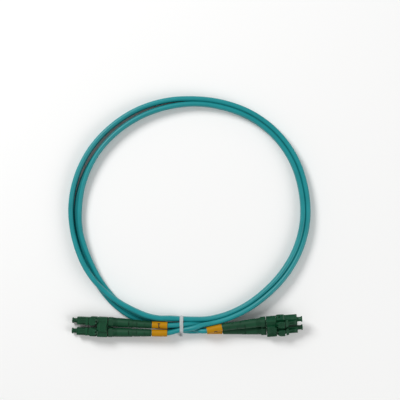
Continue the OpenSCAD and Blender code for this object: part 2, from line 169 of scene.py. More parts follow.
class Nodes:
    """A short hand for wiring a material."""
    def __init__(self, name):
        self.m = bpy.data.materials.new(name)
        self.m.use_nodes = True
        self.t = self.m.node_tree
        self.b = self.t.nodes["Principled BSDF"]
        self.co = self.t.nodes.new("ShaderNodeTexCoord")

    def link(self, a, b):
        self.t.links.new(a, b)

    def noise(self, scale, detail=3, rough=0.55, stretch=None, coord="Object", seed=0.0):
        n = self.t.nodes.new("ShaderNodeTexNoise")
        n.inputs["Scale"].default_value = scale
        n.inputs["Detail"].default_value = detail
        n.inputs["Roughness"].default_value = rough
        mp = self.t.nodes.new("ShaderNodeMapping")
        mp.inputs["Location"].default_value = (seed, seed*0.7, -seed)
        if stretch:
            mp.inputs["Scale"].default_value = stretch
        self.link(self.co.outputs[coord], mp.inputs["Vector"])
        self.link(mp.outputs["Vector"], n.inputs["Vector"])
        return n.outputs["Fac"]

    def ramp(self, fac, stops):
        r = self.t.nodes.new("ShaderNodeValToRGB")
        e = r.color_ramp.elements
        while len(e) < len(stops):
            e.new(0.5)
        for el, (p, c) in zip(e, stops):
            el.position = p
            el.color = (*c, 1)
        self.link(fac, r.inputs["Fac"])
        return r.outputs["Color"]

    def span(self, fac, a, b, lo=0.3, hi=0.7):
        r = self.t.nodes.new("ShaderNodeMapRange")
        r.inputs["From Min"].default_value, r.inputs["From Max"].default_value = lo, hi
        r.inputs["To Min"].default_value, r.inputs["To Max"].default_value = a, b
        self.link(fac, r.inputs["Value"])
        return r.outputs["Result"]

    def math(self, op, a, b=None):
        m = self.t.nodes.new("ShaderNodeMath")
        m.operation = op
        for i, v in enumerate((a, b)):
            if v is None:
                continue
            if isinstance(v, (int, float)):
                m.inputs[i].default_value = v
            else:
                self.link(v, m.inputs[i])
        return m.outputs[0]

    def mix(self, fac, a, b, mode="MIX"):
        m = self.t.nodes.new("ShaderNodeMix")
        m.data_type = "RGBA"
        m.blend_type = mode
        for s, v in ((m.inputs["Factor"], fac), (m.inputs[6], a), (m.inputs[7], b)):
            if isinstance(v, (int, float)):
                s.default_value = v
            elif isinstance(v, tuple):
                s.default_value = (*v, 1)
            else:
                self.link(v, s)
        return m.outputs[2]

    def bump(self, height, strength, distance):
        b = self.t.nodes.new("ShaderNodeBump")
        b.inputs["Strength"].default_value = strength
        b.inputs["Distance"].default_value = distance
        self.link(height, b.inputs["Height"])
        self.link(b.outputs["Normal"], self.b.inputs["Normal"])

    def edge_wear(self):
        """0 on flats, up to 1 on the outer edges."""
        g = self.t.nodes.new("ShaderNodeNewGeometry")
        return self.span(g.outputs["Pointiness"], 0, 1, 0.52, 0.6)


def shade(c, k):
    return tuple(min(1, x*k) for x in c)


def moulded(name, base, rough=0.42, grain=2600, vary=0.14, coat=0.0, subsurface=0.0, spec=0.32, seed=0.0, bump=0.25):
    """Injection-moulded plastic: cloudy colour, a spark-eroded grain and paler rubbed edges."""
    n = Nodes(name)
    cloud = n.noise(260, 4, 0.6, seed=seed)
    fine = n.noise(grain, 2, 0.5, seed=seed + 3)
    col = n.ramp(cloud, [(0.3, shade(base, 1 - vary)), (0.5, base), (0.72, shade(base, 1 + vary))])
    col = n.mix(n.math("MULTIPLY", n.edge_wear(), 0.35), col, shade(base, 1.9))
    n.link(col, n.b.inputs["Base Color"])
    n.link(n.math("ADD", n.span(cloud, rough - 0.05, rough + 0.07), n.span(fine, -0.03, 0.03)), n.b.inputs["Roughness"])
    n.bump(fine, bump, 0.00003)
    n.b.inputs["Coat Weight"].default_value = coat
    n.b.inputs["Coat Roughness"].default_value = 0.2
    n.b.inputs["Specular IOR Level"].default_value = spec
    if subsurface:
        n.b.inputs["Subsurface Weight"].default_value = subsurface
        n.b.inputs["Subsurface Radius"].default_value = (0.4, 1.0, 0.6)
        n.b.inputs["Subsurface Scale"].default_value = 0.0006
    return n.m


def jacket_material():
    """Extruded low-smoke jacket: fine lengthwise draw lines, slight matt patches, satin sheen."""
    n = Nodes("jacket_aqua")
    base = srgb(12, 136, 141)
    draw = n.noise(1, 3, 0.6, stretch=(60, 3.5, 1), coord="UV")
    patch = n.noise(95, 4, 0.6)
    fine = n.noise(2400, 2, 0.5)
    col = n.ramp(patch, [(0.28, shade(base, 0.88)), (0.5, base), (0.74, shade(base, 1.08))])
    col = n.mix(n.span(draw, 0, 0.35, 0.35, 0.75), col, shade(base, 0.82))
    n.link(col, n.b.inputs["Base Color"])
    n.link(n.math("ADD", n.span(patch, 0.36, 0.5), n.span(draw, -0.05, 0.05)), n.b.inputs["Roughness"])
    h = n.math("ADD", n.math("MULTIPLY", draw, 0.8), n.math("MULTIPLY", fine, 0.35))
    n.bump(h, 0.3, 0.00005)
    n.b.inputs["Specular IOR Level"].default_value = 0.4
    n.b.inputs["Sheen Weight"].default_value = 0.05
    n.b.inputs["Sheen Roughness"].default_value = 0.4
    return n.m


def metal(name, base, rough, grain_dir=(1, 1, 1), turned=0.0):
    n = Nodes(name)
    streak = n.noise(900, 3, 0.6, stretch=grain_dir)
    fine = n.noise(5000, 2, 0.5)
    col = n.ramp(streak, [(0.3, shade(base, 0.86)), (0.5, base), (0.75, shade(base, 1.1))])
    n.link(col, n.b.inputs["Base Color"])
    n.link(n.span(streak, rough - 0.06, rough + 0.1), n.b.inputs["Roughness"])
    n.b.inputs["Metallic"].default_value = 1.0
    n.bump(n.math("ADD", streak, n.math("MULTIPLY", fine, 0.4)), 0.2, 0.00001)
    return n.m


GREEN = srgb(8, 65, 39)
M = {
    "plug": moulded("plug_green", GREEN, 0.4, 2600, seed=1),
    "rear": moulded("rear_green", shade(GREEN, 0.94), 0.43, 2400, seed=2),
    "trigger": moulded("trigger_green", shade(GREEN, 1.06), 0.38, 2600, seed=3),
    "clip": moulded("clip_green", shade(GREEN, 1.02), 0.4, 2500, seed=4),
    "boot": moulded("boot_green", shade(GREEN, 0.86), 0.55, 1800, vary=0.1, seed=5, bump=0.35),
    "cap": moulded("cap_green", shade(GREEN, 1.1), 0.3, 3000, subsurface=0.25, seed=6, bump=0.12),
    "marker": moulded("marker_amber", srgb(172, 121, 0), 0.4, 2200, vary=0.07, spec=0.2, seed=7, bump=0.15),
    "ink": moulded("marker_ink", srgb(28, 27, 26), 0.5, 3500, vary=0.2, seed=8, bump=0.1),
    "tie": moulded("tie_grey", srgb(176, 181, 182), 0.42, 1500, vary=0.06, subsurface=0.15, seed=9, bump=0.3),
    "wire": metal("tie_wire", (0.62, 0.62, 0.63), 0.3),
    "jacket": jacket_material(),
    "zirconia": moulded("zirconia_white", (0.86, 0.85, 0.81), 0.12, 4000, vary=0.02, coat=0.4, subsurface=0.2, seed=10, bump=0.03),
    "nickel": metal("nickel_turned", (0.66, 0.63, 0.57), 0.24, (14, 1, 1)),
    "spring": metal("spring_wire", (0.72, 0.72, 0.74), 0.22, (4, 1, 1)),
    "buffer": moulded("buffer_aqua", srgb(60, 170, 172), 0.4, 3000, vary=0.08, seed=11, bump=0.1),
}
WHITE_FACE = None


# ------------------------------------------------------------------ cord
def link(o):
    bpy.context.scene.collection.objects.link(o)
    return o


def tube(name, pts, across, r, n, mat):
    """A round tube along pts. across[i] points to the other strand, so its lines run true."""
    bm = bmesh.new()
    uv = bm.loops.layers.uv.new("UVMap")
    rings, runs = [], [0.0]
    for a, b in zip(pts, pts[1:]):
        runs.append(runs[-1] + (b - a).length)
    for i, p in enumerate(pts):
        t = (pts[min(i + 1, len(pts) - 1)] - pts[max(i - 1, 0)]).normalized()
        u = across[i] - t*across[i].dot(t)
        u.normalize()
        v = t.cross(u)
        rings.append([bm.verts.new((p + (u*math.cos(k*2*math.pi/n) + v*math.sin(k*2*math.pi/n))*r)*MM) for k in range(n)])
    for i in range(len(rings) - 1):
        for k in range(n):
            k2 = (k + 1) % n
            f = bm.faces.new((rings[i][k], rings[i][k2], rings[i + 1][k2], rings[i + 1][k]))
            f.smooth = True
            for l, (uu, vv) in zip(f.loops, ((k, i), (k + 1, i), (k + 1, i + 1), (k, i + 1))):
                l[uv].uv = (uu/n, runs[vv]*0.01)
    bm.faces.new(list(reversed(rings[0])))
    bm.faces.new(rings[-1])
    bmesh.ops.recalc_face_normals(bm, faces=bm.faces)
    me = bpy.data.meshes.new(name)
    bm.to_mesh(me)
    bm.free()
    me.materials.append(mat)
    return link(bpy.data.objects.new(name, me)), runs[-1]


DIRS = [side_dir(i) for i in range(len(MID))]
strand_obj = {}
strand_len = {}
for n_, s_ in ((1, 1), (2, -1)):
    o, run = tube(f"cord_strand_{n_}", STRAND[s_], [d*(-s_) for d in DIRS], CORD_R, 22, M["jacket"])
    strand_obj[n_], strand_len[n_] = o, run
    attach(o, "cord")
    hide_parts(f"strand_{n_}")

# the web between the strands, a thin strip with hollow sides, torn to a point at each end
web_on = [i for i in range(len(MID)) if MID[i][4] < 1.4996 and AT_ROW[4] < i < AT_ROW[LAST - 6]]
bm = bmesh.new()
uvl = bm.loops.layers.uv.new("UVMap")
rings = []
PROFILE = [(-0.62, 0.55), (-0.36, 0.88), (-0.17, 0.6), (0, 0.5), (0.17, 0.6), (0.36, 0.88), (0.62, 0.55)]
for j, i in enumerate(web_on):
    a, b = STRAND[1][i], STRAND[-1][i]
    m, w = (a + b)/2, (a - b).normalized()
    t = (STRAND[1][min(i + 1, len(MID) - 1)] - STRAND[1][max(i - 1, 0)]).normalized()
    v = t.cross(w).normalized()
    end = min(1, (j + 0.3)/3, (len(web_on) - 1 - j + 0.3)/3)
    ring = [m + w*x + v*(y*end) for x, y in PROFILE] + [m + w*x - v*(y*end) for x, y in reversed(PROFILE)]
    rings.append([bm.verts.new(p*MM) for p in ring])
nn = len(rings[0])
for j in range(len(rings) - 1):
    for k in range(nn):
        f = bm.faces.new((rings[j][k], rings[j][(k + 1) % nn], rings[j + 1][(k + 1) % nn], rings[j + 1][k]))
        f.smooth = True
        for l, (uu, vv) in zip(f.loops, ((k, j), (k + 1, j), (k + 1, j + 1), (k, j + 1))):
            l[uvl].uv = (uu/nn, vv*STEP*0.01)
bm.faces.new(list(reversed(rings[0])))
bm.faces.new(rings[-1])
bmesh.ops.recalc_face_normals(bm, faces=bm.faces)
me = bpy.data.meshes.new("cord_web_strip")
bm.to_mesh(me)
bm.free()
me.materials.append(M["jacket"])
web = link(bpy.data.objects.new("cord_web_strip", me))
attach(web, "cord")
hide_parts("cord_web")


# ------------------------------------------------------------------ placing the plugs
PLUGS = {"a1": (0, -1), "a2": (0, 1), "b1": (1, -1), "b2": (1, 1)}


def rot(x, y, z):
    return Euler((x*DEG, y*DEG, z*DEG), "XYZ").to_matrix().to_4x4()


def end_matrix(e):
    return Matrix.Translation(END_POS[e]*MM) @ rot(*END_ROT[e])


def plug_matrix(k):
    e, s = PLUGS[k]
    return end_matrix(e) @ Matrix.Translation(Vector((0, s*PITCH/2, 0))*MM)


def boot_matrix(k):
    e, s = PLUGS[k]
    return plug_matrix(k) @ Matrix.Translation(Vector((-18.45, 0, 0))*MM) @ rot(0, BOOT_LIFT[e]*s, BOOT_YAW[e]*s)


# ------------------------------------------------------------------ solid modelling in millimetres
def rounded(bm, r, seg=2, angle=25):
    edges = [e for e in bm.edges if len(e.link_faces) == 2 and e.calc_face_angle(0) > angle*DEG]
    if r > 0 and edges:
        bmesh.ops.bevel(bm, geom=edges, offset=r, offset_type="OFFSET", segments=seg, profile=0.5,
                        affect="EDGES", clamp_overlap=True)
    return bm


def prism(pts, lo, hi, axis="z", r=0.0, seg=2):
    """An outline extruded along an axis. Outlines are (x, y) for z, (x, z) for y, (y, z) for x."""
    bm = bmesh.new()
    put = {"z": lambda a, b, h: (a, b, h), "y": lambda a, b, h: (a, h, b), "x": lambda a, b, h: (h, a, b)}[axis]
    lower = [bm.verts.new(put(a, b, lo)) for a, b in pts]
    upper = [bm.verts.new(put(a, b, hi)) for a, b in pts]
    bm.faces.new(list(reversed(lower)))
    bm.faces.new(upper)
    for i in range(len(pts)):
        j = (i + 1) % len(pts)
        bm.faces.new((lower[i], lower[j], upper[j], upper[i]))
    bmesh.ops.recalc_face_normals(bm, faces=bm.faces)
    return rounded(bm, r, seg)


def block(x0, x1, y0, y1, z0, z1, r=0.12, seg=2):
    return prism([(x0, y0), (x1, y0), (x1, y1), (x0, y1)], z0, z1, "z", r, seg)


def lathe(prof, n=48):
    """A profile of (x, radius) turned about X. A radius of 0 at an end closes it to a point."""
    bm = bmesh.new()
    rings = []
    for x, r in prof:
        if r <= 1e-9:
            rings.append([bm.verts.new((x, 0, 0))])
        else:
            rings.append([bm.verts.new((x, r*math.cos(k*2*math.pi/n), r*math.sin(k*2*math.pi/n))) for k in range(n)])
    for a, b in zip(rings, rings[1:]):
        for k in range(n):
            k2 = (k + 1) % n
            if len(a) == 1 and len(b) == 1:
                continue
            if len(a) == 1:
                bm.faces.new((a[0], b[k2], b[k]))
            elif len(b) == 1:
                bm.faces.new((a[k], a[k2], b[0]))
            else:
                bm.faces.new((a[k], a[k2], b[k2], b[k]))
    if len(rings[0]) > 1:
        bm.faces.new(list(reversed(rings[0])))
    if len(rings[-1]) > 1:
        bm.faces.new(rings[-1])
    bmesh.ops.recalc_face_normals(bm, faces=bm.faces)
    return bm


def bar(x0, x1, r, r2=None, n=40):
    return lathe([(x0, r), (x1, r if r2 is None else r2)], n)


def bar_y(x, z, r, w, n=28):
    bm = bar(-w/2, w/2, r, n=n)
    bmesh.ops.transform(bm, matrix=Matrix.Translation((x, 0, z)) @ Matrix.Rotation(math.pi/2, 4, "Z"), verts=bm.verts)
    return bm


_tmp = [0]


def as_object(bm):
    _tmp[0] += 1
    me = bpy.data.meshes.new(f"tmp{_tmp[0]}")
    bm.to_mesh(me)
    return link(bpy.data.objects.new(f"tmp{_tmp[0]}", me))


def boolean(a, b, op):
    """a and b are bmeshes in mm. Returns a new bmesh of the result."""
    oa, ob = as_object(a), as_object(b)
    mod = oa.modifiers.new("b", "BOOLEAN")
    mod.object, mod.operation, mod.solver = ob, op, SOLVER
    dg = bpy.context.evaluated_depsgraph_get()
    me = bpy.data.meshes.new_from_object(oa.evaluated_get(dg))
    out = bmesh.new()
    out.from_mesh(me)
    for o in (oa, ob):
        m = o.data
        bpy.data.objects.remove(o)
        bpy.data.meshes.remove(m)
    bpy.data.meshes.remove(me)
    a.free()
    b.free()
    return out


SOLVER = "EXACT"
if "MANIFOLD" in {i.identifier for i in bpy.types.BooleanModifier.bl_rna.properties["solver"].enum_items}:
    SOLVER = "MANIFOLD"


def union(first, *rest):
    for b in rest:
        first = boolean(first, b, "UNION")
    return first


def cut(first, *rest):
    for b in rest:
        first = boolean(first, b, "DIFFERENCE")
    return first


def common(first, b):
    return boolean(first, b, "INTERSECT")


def finished(name, bm, mat, sharp=38):
    """A mesh in metres, with clean flats and smooth rounds."""
    bmesh.ops.remove_doubles(bm, verts=bm.verts, dist=0.0008)
    bmesh.ops.dissolve_limit(bm, angle_limit=0.6*DEG, verts=bm.verts, edges=bm.edges)
    for f in bm.faces:
        f.smooth = True
    bmesh.ops.scale(bm, vec=(MM, MM, MM), verts=bm.verts)
    me = bpy.data.meshes.new(name)
    bm.to_mesh(me)
    bm.free()
    me.set_sharp_from_angle(angle=sharp*DEG)
    me.materials.append(mat)
    return me


def place(name, me, matrix, body, node):
    me = me.copy()
    me.name = name + "_mesh"
    me.transform(matrix)
    o = link(bpy.data.objects.new(name, me))
    w = o.modifiers.new("normals", "WEIGHTED_NORMAL")
    w.keep_sharp = True
    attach(o, body)
    if node:
        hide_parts(node)
    return o


# ---- front housing
def front_housing():
    nose = block(-8.4, 0, -2.26, 2.26, -2.26, 2.26, 0.13, 3)
    collar = prism([(-12.4, -2.2), (-12.15, -2.5), (-11.8, -2.68), (-11.3, -2.75), (-8.3, -2.75), (-7.4, -2.28),
                    (-7.4, 2.28), (-8.3, 2.75), (-11.3, 2.75), (-11.8, 2.68), (-12.15, 2.5), (-12.4, 2.2)], -2.5, 2.5, "z", 0.15, 3)
    b = union(nose, collar)
    b = cut(b,
            lathe([(-2.9, 1.65), (-0.2, 1.65), (0.5, 2.2)], 48),
            bar(-4.7, -2.8, 0.72),
            bar(-12.5, -4.6, 1.72),
            bar_y(-1, 2.3, 0.36, 2.6),
            block(-10.9, -9.9, -3.2, 3.2, -0.6, 0.6, 0.08))
    for s in (-1, 1):
        lo, hi = (2.13, 2.5) if s > 0 else (-2.5, -2.13)
        # shallow side panels on the nose
        b = cut(b, block(-6.7, -1.6, lo, hi, -1.0, 1.0, 0.1))
        # pairs of grooves on the collar
        lo, hi = (2.63, 3) if s > 0 else (-3, -2.63)
        for z in (1.45, -1.45):
            b = cut(b, block(-11.1, -8.9, lo, hi, z - 0.27, z + 0.27, 0.06))
    # a groove on top that the latch lies over, a key groove and ejector marks below
    b = cut(b, block(-7.2, -2.2, -0.7, 0.7, 2.14, 2.6, 0.08),
            block(-6.4, -1.2, -0.55, 0.55, -2.6, -2.14, 0.08))
    for x, y in ((-9.7, -1.55), (-9.7, 1.55), (-3.2, 1.45), (-3.2, -1.45)):
        pin = bar(-0.08, 0.6, 0.42 if x < -8 else 0.3, n=24)
        top = -2.5 if x < -8 else -2.26
        bmesh.ops.transform(pin, matrix=Matrix.Translation((x, y, top)) @ Matrix.Rotation(math.pi/2, 4, "Y"), verts=pin.verts)
        b = cut(b, pin)
    return b


# ---- latch
def latch():
    arm = prism([(-0.82, 2.36), (-0.95, 2.58), (-1.5, 2.95), (-9.3, 3.95), (-9.65, 3.95), (-9.8, 3.83),
                 (-9.8, 3.4), (-1.4, 2.41)], -1.2, 1.2, "y", 0.09, 2)
    catch = prism([(-5.3, 3.02), (-5.3, 3.4), (-6.5, 3.9), (-6.9, 3.92), (-6.9, 3.15)], -2.3, 2.3, "y", 0.07, 2)
    b = union(arm, catch, bar_y(-1, 2.3, 0.3, 2.4))
    # a slot along the top keeps the arm springy
    return cut(b, prism([(-4.7, 3.08), (-2.2, 2.77), (-2.2, 3.8), (-4.7, 3.9)], -0.42, 0.42, "y", 0.0))


# ---- rear housing
def rear_housing():
    b = union(block(-18.4, -12.45, -2.3, 2.3, -2.3, 2.3, 0.14, 3),
              bar(-12.7, -9.6, 1.66),
              block(-10.7, -10.1, -1.9, 1.9, -0.45, 0.45, 0.06))
    b = cut(b, bar(-13, -9, 1.32), bar(-18.5, -12.9, 1.62))
    # cross ribs on the underside, between grooves
    for x in (-17.2, -16.1, -15, -13.9):
        b = cut(b, block(x - 0.3, x + 0.3, -1.5, 1.5, -2.7, -2.16, 0.07))
    return b


# ---- trigger
def trigger():
    side = prism([(-13.05, 2.85), (-12.3, 2.85), (-11.6, 3.3), (-10.3, 4.15), (-9.2, 4.17), (-7.7, 4.35),
                  (-7.55, 4.5), (-7.62, 4.66), (-7.8, 4.75), (-9.4, 4.72), (-10.6, 4.78), (-11.2, 4.76), (-11.8, 4.5),
                  (-12.6, 3.65), (-13.05, 3.35)], -2.6, 2.6, "y", 0.0)
    right = [(-14, 1.45), (-12.62, 1.45), (-12.5, 1.3), (-12.0, 1.3), (-11.5, 1.45), (-10.9, 1.85), (-10.3, 2.1),
             (-9.6, 2.2), (-7.95, 2.2), (-7.7, 2.05), (-7.5, 1.6), (-7.4, 0.8)]
    plan = prism([(x, -y) for x, y in right] + [(x, y) for x, y in reversed(right)], 2, 6, "z")
    b = rounded(common(side, plan), 0.09, 3, 35)
    b = union(b, bar_y(-13, 3.05, 0.34, 2.9))
    # grip ribs, and a slot that lightens the arm
    for i, x in enumerate((-10.5, -9.85, -9.2, -8.55)):
        b = union(b, prism([(x - 0.18, 4.6), (x - 0.1, 4.86), (x + 0.1, 4.86), (x + 0.18, 4.6)], -1.75, 1.75, "y", 0.05))
    return cut(b, prism([(-12.3, 2.6), (-11.3, 3.4), (-11.3, 5), (-12.3, 5)], -0.45, 0.45, "y", 0.0))


# ---- boot, in its own frame
def boot():
    bl = 26.1
    outline = [(-3.3, -2.5), (-2.7, -2.85), (-0.6, -2.85), (-0.15, -2.0), (-0.15, 2.0), (-0.6, 2.85), (-2.7, 2.85), (-3.3, 2.5)]
    sq = common(prism(outline, -3.0, 3.0, "z"), prism(outline, -3.0, 3.0, "y"))
    sq = rounded(common(sq, bar(-3.4, 1, 3.2, n=64)), 0.14, 2, 30)
    prof = [(-bl - 0.15, 1.95), (-bl - 0.05, 2.08), (-bl + 0.12, 2.15)]
    prof += [(-bl + 0.12 + i*(bl - 15.22)/8, 2.15 + 0.27*i/8) for i in range(1, 9)]
    # a soft shoulder, then the thicker front half
    prof += [(-15.0, 2.44), (-14.93, 2.5), (-14.8, 2.548)]
    prof += [(-14.8 + i*12.3/9, 2.552 + 0.248*i/9) for i in range(1, 10)]
    b = union(sq, lathe(prof, 56))
    # soft grip rings behind the collar
    for x in (-4.15, -4.95, -5.75):
        core = lathe([(x - 0.4, 3.1), (x - 0.2, 2.72), (x - 0.08, 2.56), (x + 0.08, 2.56), (x + 0.2, 2.72), (x + 0.4, 3.1)], 56)
        b = cut(b, cut(bar(x - 0.3, x + 0.3, 3.4, n=56), core))
    b = cut(b, bar(-6.5, 1, 2.1), bar(-bl - 1, -6, 1.56), lathe([(-bl - 0.6, 2.0), (-bl + 0.25, 1.5), (-bl + 0.6, 1.5)], 40))
    for s in (-1, 1):
        for x in (6, 10.8):
            b = cut(b, block(-bl + x - 0.3, -bl + x + 0.3, s*2.6 - 0.65, s*2.6 + 0.65, -1.3, 1.3, 0.12))
        for x in (3.6, 8.4, 13.2):
            b = cut(b, block(-bl + x - 0.3, -bl + x + 0.3, -1.3, 1.3, s*2.6 - 0.65, s*2.6 + 0.65, 0.12))
    return b


# ---- clip over one pair
def clip():
    body = block(-18.5, -12.6, -5.95, 5.95, -1.7, 3.7, 0.3, 4)
    boss = prism([(-17.9, 3.2), (-17.9, 4.9), (-12.62, 4.9), (-12.62, 3.2)], -2.6, 2.6, "y", 0.24, 3)
    b = union(body, boss)
    for s in (-1, 1):
        y = s*PITCH/2
        b = cut(b, block(-19, -12, y - 2.325, y + 2.325, -3, 2.33, 0.06))
        seat = bar_y(-13, 3.05, 0.4, 3.1)
        bmesh.ops.translate(seat, vec=(0, y, 0), verts=seat.verts)
        room = prism([(-13.4, 3.05), (-13.4, 5.2), (-12.3, 5.2), (-12.3, 2.62), (-12.9, 2.65)], y - 1.55, y + 1.55, "y")
        b = cut(b, seat, room)
        # a shallow panel on each flank, and flutes on each shoulder
        lo, hi = (5.83, 6.3) if s > 0 else (-6.3, -5.83)
        b = cut(b, block(-17.7, -13.4, lo, hi, -0.7, 2.7, 0.1))
        for f in (3.45, 4.3, 5.15):
            b = cut(b, block(-17.6, -14.1, s*f - 0.2, s*f + 0.2, 3.58, 4.1, 0.08))
        # snap lips that hold the housings from below
        for w in (-2.325, 2.325):
            q = 0.12 if w < 0 else -0.12
            b = union(b, prism([(y + w - q, -1.62), (y + w + q*0.3, -1.5), (y + w - q, -1.3)], -17.6, -13.5, "x"))
    hollow = bar(-4, 4, 4.5, n=96)
    bmesh.ops.transform(hollow, matrix=Matrix.Translation((-15.5, 0, 9)) @ Matrix.Rotation(math.pi/2, 4, "Z"), verts=hollow.verts)
    b = cut(b, hollow)
    # thumb ribs in the hollow
    for x in (-16.7, -16.1, -15.5, -14.9, -14.3):
        z = 9 - math.sqrt(4.5**2 - (x + 15.5)**2)
        b = union(b, prism([(x - 0.13, z - 0.2), (x - 0.07, z + 0.1), (x + 0.07, z + 0.1), (x + 0.13, z - 0.2)], -2.0, 2.0, "y", 0.03))
    return b


# ---- dust cap
def cap():
    prof = [(-2.4, 1.2), (-2.25, 1.35), (0.05, 1.35), (0.1, 1.5), (0.3, 1.5), (0.36, 1.36), (2.15, 1.34), (2.32, 1.45),
            (2.36, 1.62), (2.45, 1.75), (2.98, 1.75), (3.09, 1.68), (3.15, 1.5), (3.15, 0.42), (3.06, 0.34), (3.06, 0.0)]
    b = lathe([(-2.4, 0.0)] + prof, 56)
    b = cut(b, lathe([(-3, 0.95), (-2.35, 0.72), (-2.1, 0.665), (1.72, 0.665), (1.9, 0.45), (1.9, 0.0)], 36))
    # grip flutes round the rim
    for k in range(18):
        f = bar(2.2, 3.4, 0.12, n=10)
        a = k*20*DEG
        bmesh.ops.transform(f, matrix=Matrix.Translation((0, 1.79*math.cos(a), 1.79*math.sin(a))), verts=f.verts)
        b = cut(b, f)
    return b


MESH = {
    "front_housing": finished("front_housing_mesh", front_housing(), M["plug"]),
    "latch": finished("latch_mesh", latch(), M["plug"]),
    "rear_housing": finished("rear_housing_mesh", rear_housing(), M["rear"]),
    "trigger": finished("trigger_mesh", trigger(), M["trigger"]),
    "boot": finished("boot_mesh", boot(), M["boot"]),
    "cap": finished("cap_mesh", cap(), M["cap"]),
    "clip": finished("clip_mesh", clip(), M["clip"]),
}
for k in PLUGS:
    P, B = plug_matrix(k), boot_matrix(k)
    place(f"front_{k}", MESH["front_housing"], P, "cord", f"front_housing_{k}")
    place(f"rear_{k}", MESH["rear_housing"], P, "cord", f"rear_housing_{k}")
    place(f"latch_arm_{k}", MESH["latch"], P, f"latch_{k}", f"latch_{k}")
    place(f"trigger_pad_{k}", MESH["trigger"], P, f"trigger_{k}", f"trigger_{k}")
    place(f"boot_sleeve_{k}", MESH["boot"], B, "cord", f"boot_{k}")
    place(f"cap_{k}", MESH["cap"], P, f"cap_{k}", f"dust_cap_{k}")
for e, name in enumerate("ab"):
    place(f"clip_{name}", MESH["clip"], end_matrix(e), "cord", f"duplex_clip_{name}")



def spring():
    """Round wire with a closed coil at each end, in the plug's own frame."""
    turns, per, x0, x1, r, wire, n = 8, 20, -12.75, -6.1, 1.02, 0.14, 8
    pts = []
    for i in range(turns*per + 1):
        t = i/per
        # closed coils over the first and the last turn
        live = min(max(t - 1, 0), turns - 2)/(turns - 2)
        dead = min(t, 1) + max(t - (turns - 1), 0)
        x = x0 + 0.3*dead + (x1 - x0 - 0.6)*live
        a = t*2*math.pi
        pts.append(Vector((x, r*math.cos(a), r*math.sin(a))))
    bm = bmesh.new()
    rings = []
    for i, p in enumerate(pts):
        t = (pts[min(i + 1, len(pts) - 1)] - pts[max(i - 1, 0)]).normalized()
        u = Vector((0, p.y, p.z)).normalized()
        v = t.cross(u).normalized()
        rings.append([bm.verts.new(p + u*(wire*math.cos(k*2*math.pi/n)) + v*(wire*math.sin(k*2*math.pi/n))) for k in range(n)])
    for a, b in zip(rings, rings[1:]):
        for k in range(n):
            bm.faces.new((a[k], a[(k + 1) % n], b[(k + 1) % n], b[k]))
    bm.faces.new(list(reversed(rings[0])))
    bm.faces.new(rings[-1])
    bmesh.ops.recalc_face_normals(bm, faces=bm.faces)
    return bm


MESH["spring"] = finished("spring_mesh", spring(), M["spring"], 50)
for k in PLUGS:
    P = plug_matrix(k)
    o = place(f"spring_coil_{k}", MESH["spring"], P, "cord", f"spring_{k}")
    tuple(P.to_3x3() @ Vector((1, 0, 0)))
    tuple(P @ (Vector((-12.89, 0, 0))*MM))
    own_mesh(o)

# inner pieces keep their CAD shape and get their own finishes
for k in PLUGS:
    for node, mat in (("ferrule", "zirconia"), ("ferrule_flange", "nickel"),
                      ("crimp_body", "nickel"), ("crimp_sleeve", "nickel"), ("fibre", "buffer")):
        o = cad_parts[f"{node}_{k}"]
        o.data.materials.clear()
        o.data.materials.append(M[mat])


# ------------------------------------------------------------------ marker sleeves
def sleeve():
    L, ro, ri = MARK_L, MARK_R, MARK_RI
    prof = [(0.0, ri), (0.0, ro - 0.1), (0.03, ro - 0.03), (0.12, ro)]
    prof += [(0.12 + i*(L - 0.24)/10, ro) for i in range(1, 10)]
    prof += [(L - 0.12, ro), (L - 0.03, ro - 0.03), (L, ro - 0.1), (L, ri)]
    bm = bmesh.new()
    n = 64
    ring = prof + [(L/2, ri)]
    rows = [[bm.verts.new((x, r*math.cos(j*2*math.pi/n), r*math.sin(j*2*math.pi/n))) for j in range(n)] for x, r in ring]
    for a in range(len(rows)):
        b = (a + 1) % len(rows)
        for j in range(n):
            bm.faces.new((rows[a][j], rows[a][(j + 1) % n], rows[b][(j + 1) % n], rows[b][j]))
    bmesh.ops.recalc_face_normals(bm, faces=bm.faces)
    return bm


MESH["marker"] = finished("marker_mesh", sleeve(), M["marker"])


def row_point(s, row, d):
    left = Vector((-d.y, d.x, 0)).normalized()
    return xyz(row) + (left*math.cos(row[3]*DEG) + Vector((0, 0, math.sin(row[3]*DEG))))*(s*row[4])


STROKES = {
    1: [[(-0.24, 0.27), (0.02, 0.46), (0.02, -0.46)], [(-0.24, -0.44), (0.28, -0.44)]],
    2: [[(-0.27, 0.22), (-0.2, 0.4), (0, 0.48), (0.2, 0.4), (0.27, 0.2), (0.16, -0.02), (-0.26, -0.42)], [(-0.3, -0.44), (0.3, -0.44)]],
}


def stroke(path, w):
    """A flat outline w wide along a path, with mitred corners."""
    pts = [Vector(p) for p in path]
    left, right = [], []
    for i, p in enumerate(pts):
        a = (p - pts[i - 1]).normalized() if i else (pts[1] - p).normalized()
        b = (pts[i + 1] - p).normalized() if i < len(pts) - 1 else a
        n1, n2 = Vector((-a.y, a.x)), Vector((-b.y, b.x))
        m = (n1 + n2).normalized()
        m *= (w/2)/max(0.55, m.dot(n1))
        left.append(p + m)
        right.append(p - m)
    return [tuple(v) for v in left] + [tuple(v) for v in reversed(right)]


